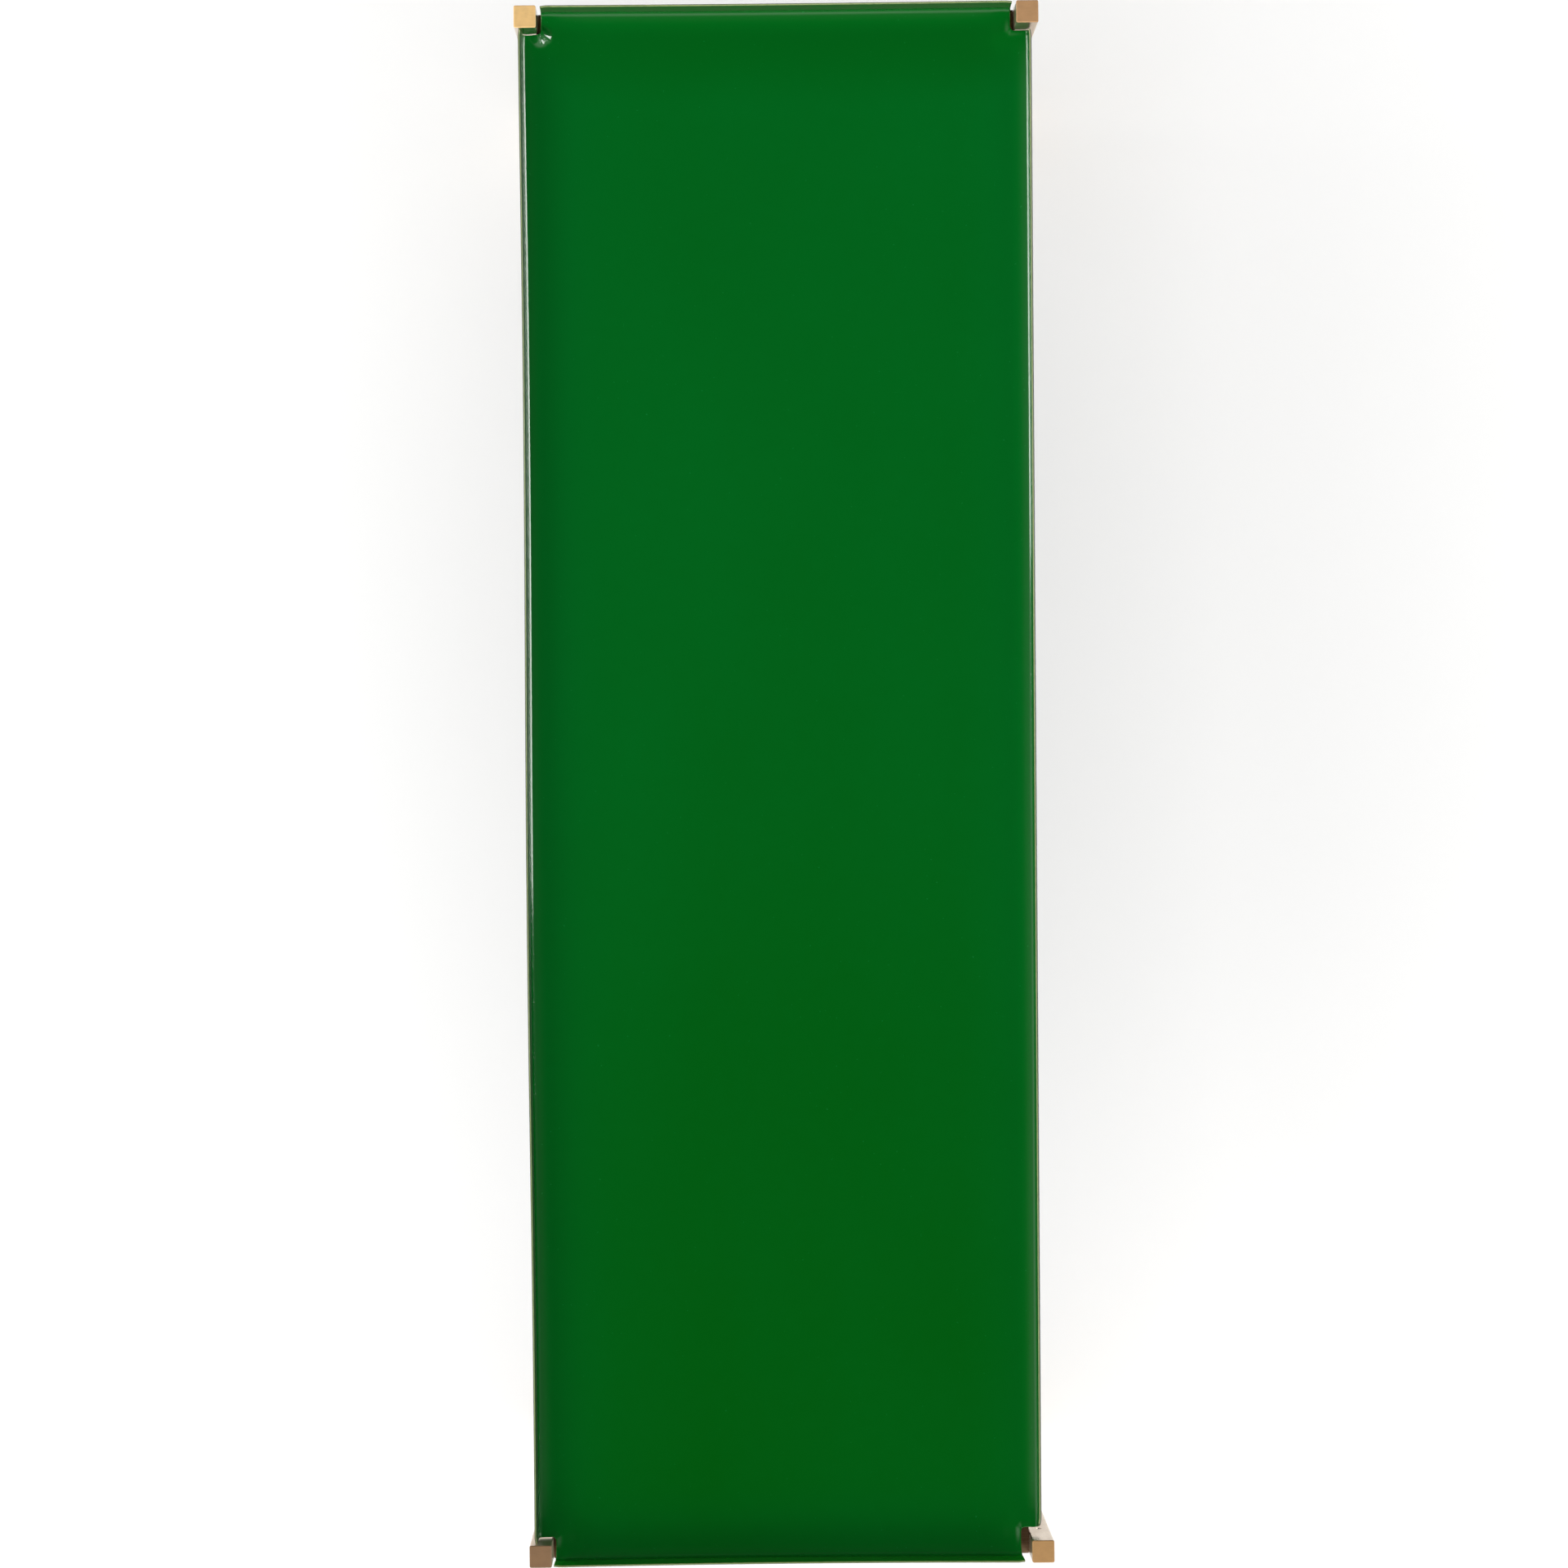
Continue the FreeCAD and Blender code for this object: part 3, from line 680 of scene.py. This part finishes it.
def enamel_finish(look):
    """Glossy vitreous enamel: cloudy green, thin and olive at the rim, dark underneath. Its green
    also holds painted light: lighter towards the rear, the left and the walls, painted shade along
    the rear wall, a painted grey reflection on the long and rear walls, and a brighter front wall.
    """
    finish = Finish("green_enamel", IOR=1.52, Specular_IOR_Level=0.19)
    front, rear = TRAY_LOW.y, TRAY_HIGH.y
    from_rim = finish.attribute("rim_distance")
    cloud = finish.noise(2.6, 3.0, stretch=(1.3, 0.8, 1.0)).rise(0.36, 0.64)
    grain = finish.noise(95.0, 4.0).rise(0.3, 0.7)

    # Painted light: the floor is made lighter towards the rear, where more light falls; the cloud
    # and grain in this mix are the enamel's own uneven tone.
    tone_and_painted_light = finish.y.rise(-0.6, 0.5) * 0.6 + cloud * 0.2 + grain * 0.05
    # Painted shade: the floor is darker in a band along the rear wall.
    tone_and_painted_light = tone_and_painted_light * (1.0 - 0.8 * finish.y.rise(rear - 74.0 * MM, rear - 19.0 * MM))
    # Painted light: lighter along the left side, where the left wall cuts off light from the left.
    tone_and_painted_light = tone_and_painted_light + 0.25 * (1.0 - finish.x.rise(-0.17, -0.05))
    # Painted sheen: the floor is lighter and bluer near the walls.
    tone_and_painted_light = tone_and_painted_light + 0.35 * (1.0 - from_rim.rise(20.0 * MM, 80.0 * MM))
    green = finish.mix(tone_and_painted_light, look.deep, look.clear)
    speck = finish.noise(420.0, 2.0).rise(0.73, 0.78)
    green = finish.mix(speck * 0.35, green, look.speck)

    ragged = from_rim + finish.noise(260.0, 3.0) * (1.2 * MM) - 0.6 * MM
    thin = 1.0 - ragged.rise(0.4 * MM, 2.6 * MM)
    bare = 1.0 - ragged.rise(0.0, 1.1 * MM)
    green = finish.mix(thin * 0.6, green, look.thin)
    wall = 1.0 - from_rim.rise(12.0 * MM, 18.0 * MM)
    # Painted reflection: the olive on the long walls and the rear wall stands for the grey sheen
    # that these walls reflect; the front wall, which reflects none, is left out.
    olive = wall * finish.y.rise(front + 7.0 * MM, front + 16.0 * MM)
    green = finish.mix(olive * (0.35 + 0.3 * grain), green, look.wall)
    # Painted light: the front wall faces away from the light, and its green is made brighter to
    # make up for it.
    green = finish.mix((wall - olive) * 0.85, green, look.front_wall_painted_light)
    green = finish.mix(bare, green, look.rim)

    under = finish.attribute("underside").rise(0.4, 0.6)
    ground = finish.noise(30.0, 5.0).rise(0.35, 0.7)
    ground = finish.mix(ground, look.ground, look.ground_light)
    roughness = look.roughness + finish.noise(14.0, 3.0) * 0.03 + wall * 0.28 + under * 0.1
    ripple = finish.bump(finish.noise(150.0, 2.0), 0.12 * MM, 0.25)
    pits = finish.noise(900.0, 1.0).rise(0.25, 0.36)
    return finish.show(
        Base_Color=finish.mix(under, green, ground),
        Roughness=roughness,
        Normal=finish.bump(pits, 0.04 * MM, 0.4, under=ripple),
    )


def leg_finish(look, corner, brown_share, top_colour):
    """Square bronze bar: drawn lines up the sides, brown skin, rubbed arrises, filed top.

    The shift gives each leg marks of its own.
    """
    finish = Finish(f"bronze_leg_{corner}", Specular_IOR_Level=0.25)
    side, end = CORNERS[corner]
    shift = (3.7 * side, 5.1 * end, 1.3 * side * end)
    drawn = finish.noise(1.0, 3.0, stretch=(2600.0, 2600.0, 14.0), shift=shift)
    skin = finish.noise(26.0, 6.0, stretch=(1.0, 1.0, 0.35), shift=shift)
    skin = skin.rise(0.62 - 0.5 * brown_share, 0.86 - 0.5 * brown_share)
    near_x = abs(abs(finish.x) - LEG_MIDDLE.x)
    near_y = abs(abs(finish.y) - LEG_MIDDLE.y)
    arris = near_x.lesser(near_y).rise(LEG_HALF - 2.2 * MM, LEG_HALF - 0.9 * MM)
    rubbed = arris * finish.noise(120.0, 4.0, shift=shift).rise(0.35, 0.6)
    spots = finish.noise(620.0, 2.0, shift=shift).rise(0.68, 0.78)

    metal = finish.mix(skin * 0.6, look.bright, look.brown)
    metal = finish.mix(drawn.rise(0.35, 0.75) * 0.1, metal, look.brown)
    metal = finish.mix(spots * 0.3, metal, look.dark)
    metal = finish.mix(rubbed * 0.4, metal, look.bright)

    top = finish.z.rise(LEG_TOP - 1.5 * MM, LEG_TOP - 0.6 * MM)
    filed = finish.noise(1.0, 3.0, stretch=(180.0, 1500.0, 1.0), shift=shift)
    cloud = finish.noise(170.0, 5.0, shift=shift)
    face = finish.mix(cloud.rise(0.3, 0.75) * 0.3, top_colour, [0.6 * c for c in top_colour])
    face = finish.mix(filed.rise(0.4, 0.8) * 0.12, face, [min(1.0, 1.4 * c) for c in top_colour])
    roughness = look.roughness + drawn * 0.08 + skin * 0.14
    drawn_bump = finish.bump(drawn, 0.02 * MM, 0.5)
    return finish.show(
        Base_Color=finish.mix(top, metal, face),
        Metallic=1.0 - 0.9 * top,
        Roughness=roughness * (1.0 - top) + top * (0.42 + 0.2 * filed),
        Normal=finish.bump(filed * top, 0.04 * MM, 0.6, under=drawn_bump),
    )


def bar_finish(look, name, stretch, bright_share=0.25):
    """Bronze bar with drawn lines along it and a cloudy brown skin, on a dark ground that is
    painted shade for bars in the tray's shadow.
    """
    finish = Finish(name, Metallic=1.0)
    drawn = finish.noise(1.0, 3.0, stretch=stretch)
    cloud = finish.noise(22.0, 6.0).rise(0.38, 0.72)
    spots = finish.noise(540.0, 2.0).rise(0.66, 0.78)
    metal = finish.mix(cloud * 0.55, look.dark, look.brown)
    metal = finish.mix(drawn.rise(0.5, 0.8) * bright_share * 0.5, metal, look.bright)
    metal = finish.mix(spots * 0.35, metal, [0.4 * c for c in look.dark])
    return finish.show(
        Base_Color=metal,
        Roughness=0.24 + cloud * 0.12 + drawn * 0.08 + spots * 0.1,
        Normal=finish.bump(drawn, 0.02 * MM, 0.6),
    )


def steel_finish(name, tone, roughness):
    """Plain or plated steel with fine scratches and a little staining."""
    finish = Finish(name, Metallic=1.0)
    stain = finish.noise(300.0, 4.0).rise(0.45, 0.75)
    scratch = finish.noise(1.0, 2.0, stretch=(4200.0, 900.0, 2400.0))
    shade = finish.mix(stain, tone, [0.55 * c for c in tone])
    return finish.show(
        Base_Color=finish.mix(scratch.rise(0.55, 0.8) * 0.4, shade, [0.7 * c for c in tone]),
        Roughness=roughness + scratch * 0.15 + stain * 0.1,
        Normal=finish.bump(scratch, 0.01 * MM, 0.5),
    )


def soft_finish(name, dark, worn, roughness, grain):
    """Rubber or nylon with a fine moulded grain and paler, dusty wear."""
    finish = Finish(name)
    dust = finish.noise(230.0, 4.0).rise(0.42, 0.75)
    skin = finish.noise(grain, 3.0)
    return finish.show(
        Base_Color=finish.mix(dust, dark, worn),
        Roughness=roughness + dust * 0.15,
        Normal=finish.bump(skin, 0.05 * MM, 0.6),
    )


# ---- studio --------------------------------------------------------------------------


def floor_finish(look):
    """Pale matt studio floor with faint mottling."""
    finish = Finish("studio_floor", Roughness=0.75)
    mottle = finish.noise(1.6, 5.0).rise(0.3, 0.7)
    tone = finish.mix(mottle, look.floor, [0.985 * c for c in look.floor])
    return finish.show(Base_Color=tone, Normal=finish.bump(finish.noise(400.0), 0.1 * MM, 0.1))


def build_floor(look):
    """A flat square floor, as a grid over x and y at the height of the glides' feet."""
    line = np.linspace(-look.floor_half, look.floor_half, 13)
    x, y = np.meshgrid(line, line, indexing="ij")
    points = np.stack([x, y, np.zeros_like(x)], axis=-1).reshape(-1, 3)
    index = np.arange(x.size).reshape(x.shape)
    floor = add_mesh("studio_floor", points, cells(index).reshape(-1, 4).tolist())
    dress(floor, floor_finish(look))


def softbox(name, place, aim, size, power):
    """A rectangular lamp that faces a point, with its height upright. It shows only in
    reflections."""
    lamp = bpy.data.lights.new(name, "AREA")
    lamp.shape = "RECTANGLE"
    lamp.size, lamp.size_y = size
    lamp.energy = power
    holder = add_object(name, lamp)
    holder.location = place
    holder.rotation_euler = (Vector(aim) - Vector(place)).to_track_quat("-Z", "Y").to_euler()
    holder.visible_diffuse = False
    return holder


def build_lamps():
    """Three softboxes that the enamel and the bronze reflect, and a soft light overhead."""
    softbox("right_softbox", (3.2, 0.55, 1.3), aim=(0.0, 0.3, 0.42), size=(1.5, 1.6), power=300.0)
    softbox("left_softbox", (-3.2, 0.85, 1.3), aim=(0.0, 0.4, 0.42), size=(0.9, 1.6), power=145.0)
    softbox(
        "corner_softbox", (1.6, -1.95, 1.35), aim=(-0.16, 0.53, 0.42), size=(1.2, 0.95), power=135.0
    )
    overhead = softbox(
        "overhead_softbox", (0.0, 0.0, 4.0), aim=(0.0, 0.0, 0.0), size=(3.0, 3.0), power=58.0
    )
    overhead.visible_diffuse, overhead.visible_glossy = True, False


def build_surround(look):
    """A pale surround that is bright at the horizon, towards the left and the front, and
    nearly black overhead."""
    world = bpy.data.worlds.new("studio_surround")
    bpy.context.scene.world = world
    world.use_nodes = True
    shading = Shading(world.node_tree, "Generated")
    up = shading.z
    horizon = (1.0 - up.rise(0.55, 0.985)) * (0.55 + 0.45 * up.rise(-0.1, 0.45))
    towards = (0.55 - 0.5 * shading.x - 0.75 * shading.y).greater(0.08)
    background = shading.tree.nodes["Background"]
    background.inputs["Color"].default_value = (1.0, 1.0, 1.0, 1.0)
    strength = (horizon * towards + 0.006) * look.surround
    shading.feed(background.inputs["Strength"], strength)


def build_camera(look):
    """A camera that looks straight down, shifted so that the table fills the frame."""
    data = bpy.data.cameras.new("camera")
    data.sensor_width = 36.0
    data.lens = data.sensor_width * look.camera_rise / look.framed
    middle = Vector((-look.camera_x, -look.camera_y, 0.0))
    middle.rotate(Euler((0.0, 0.0, -look.turn)))
    data.shift_x, data.shift_y = middle.x / look.framed, middle.y / look.framed
    data.clip_start, data.clip_end = 0.01, 50.0
    camera = add_object("camera", data)
    camera.location = (look.camera_x, look.camera_y, LEG_TOP + look.camera_rise)
    camera.rotation_euler = (0.0, 0.0, look.turn)
    bpy.context.scene.camera = camera


# ---- operators -----------------------------------------------------------------------


class TABLE_OT_studio(bpy.types.Operator):
    """Adds the floor, the surround, the lamps and the camera"""

    bl_idname = "table.studio"
    bl_label = "Studio"

    def execute(self, context):
        look = context.scene.table_studio
        build_floor(look)
        build_surround(look)
        build_camera(look)
        build_lamps()
        context.scene.view_settings.view_transform = "Standard"
        return {"FINISHED"}


class TABLE_OT_tray(bpy.types.Operator):
    """Adds the enamelled tray"""

    bl_idname = "table.tray"
    bl_label = "Tray"

    def execute(self, context):
        tray = build_tray(context.scene.table_tray)
        dress(tray, enamel_finish(context.scene.table_enamel))
        return {"FINISHED"}


class TABLE_OT_legs(bpy.types.Operator):
    """Gives the legs their bronze"""

    bl_idname = "table.legs"
    bl_label = "Legs"

    def execute(self, context):
        look = context.scene.table_bronze
        for corner, (brown_share, top_colour) in LEG_TONES.items():
            finish = leg_finish(look, corner, brown_share, top_colour)
            dress(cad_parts[f"leg_{corner}"], finish)
        return {"FINISHED"}


class TABLE_OT_rails(bpy.types.Operator):
    """Gives the rails, slats and gussets their dark bronze, which is painted shade"""

    bl_idname = "table.rails"
    bl_label = "Rails"

    def execute(self, context):
        look = context.scene.table_bronze
        across = bar_finish(look, "bronze_across", stretch=(14.0, 2200.0, 2200.0))
        lengthways = bar_finish(look, "bronze_lengthways", stretch=(2200.0, 14.0, 2200.0))
        plate = bar_finish(
            look, "bronze_plate", stretch=(240.0, 1400.0, 1400.0), bright_share=0.4
        )
        for name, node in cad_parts.items():
            if name.startswith(("end_rail", "slat_")) and name != "slat_screws":
                dress(node, across)
            elif name.startswith("long_rail"):
                dress(node, lengthways)
            elif name.startswith("gusset_") and name != "gusset_screws":
                dress(node, plate)
        return {"FINISHED"}


class TABLE_OT_fittings(bpy.types.Operator):
    """Gives the screws, dowels and bumpers their finishes"""

    bl_idname = "table.fittings"
    bl_label = "Screws, dowels and bumpers"

    def execute(self, context):
        steel = steel_finish("screw_steel", tone=(0.50, 0.49, 0.47), roughness=0.28)
        for name in ("gusset_screws", "slat_screws", "tenon_grub_screws", "rail_dowels"):
            dress(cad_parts[name], steel)
        rubber = soft_finish(
            "bumper_rubber",
            dark=(0.018, 0.018, 0.019),
            worn=(0.06, 0.058, 0.054),
            roughness=0.6,
            grain=700.0,
        )
        dress(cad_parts["tray_bumpers"], rubber)
        return {"FINISHED"}


class TABLE_OT_glides(bpy.types.Operator):
    """Adds the threaded glides and finishes their pads"""

    bl_idname = "table.glides"
    bl_label = "Glides"

    def execute(self, context):
        zinc = steel_finish("glide_zinc", tone=(0.62, 0.63, 0.65), roughness=0.25)
        nylon = soft_finish(
            "pad_nylon",
            dark=(0.03, 0.03, 0.032),
            worn=(0.09, 0.085, 0.08),
            roughness=0.45,
            grain=900.0,
        )
        for corner in CORNERS:
            dress(build_glide(context.scene.table_glides, corner), zinc)
            dress(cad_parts[f"glide_pad_{corner}"], nylon)
        return {"FINISHED"}


OPERATORS = (
    TABLE_OT_studio,
    TABLE_OT_tray,
    TABLE_OT_legs,
    TABLE_OT_rails,
    TABLE_OT_fittings,
    TABLE_OT_glides,
)
SETTINGS = {
    "table_tray": TraySizes,
    "table_enamel": EnamelLook,
    "table_bronze": BronzeLook,
    "table_glides": GlideSizes,
    "table_studio": StudioSizes,
}


class TABLE_PT_panel(bpy.types.Panel):
    """Lists the table's operators and settings"""

    bl_idname = "TABLE_PT_panel"
    bl_label = "Tray Table"
    bl_space_type = "VIEW_3D"
    bl_region_type = "UI"
    bl_category = "Tray Table"

    def draw(self, context):
        for operator in OPERATORS:
            self.layout.operator(operator.bl_idname)
        for pointer, group in SETTINGS.items():
            box = self.layout.box()
            box.label(text=group.__doc__)
            for setting in group.__annotations__:
                box.prop(getattr(context.scene, pointer), setting)


def register():
    for group in SETTINGS.values():
        bpy.utils.register_class(group)
    for operator in OPERATORS:
        bpy.utils.register_class(operator)
    bpy.utils.register_class(TABLE_PT_panel)
    for pointer, group in SETTINGS.items():
        setattr(bpy.types.Scene, pointer, bpy.props.PointerProperty(type=group))


def unregister():
    for pointer in SETTINGS:
        delattr(bpy.types.Scene, pointer)
    bpy.utils.unregister_class(TABLE_PT_panel)
    for operator in reversed(OPERATORS):
        bpy.utils.unregister_class(operator)
    for group in SETTINGS.values():
        bpy.utils.unregister_class(group)


def main():
    register()
    for operator in OPERATORS:
        group, name = operator.bl_idname.split(".")
        getattr(getattr(bpy.ops, group), name)()


if __name__ == "__main__":
    main()
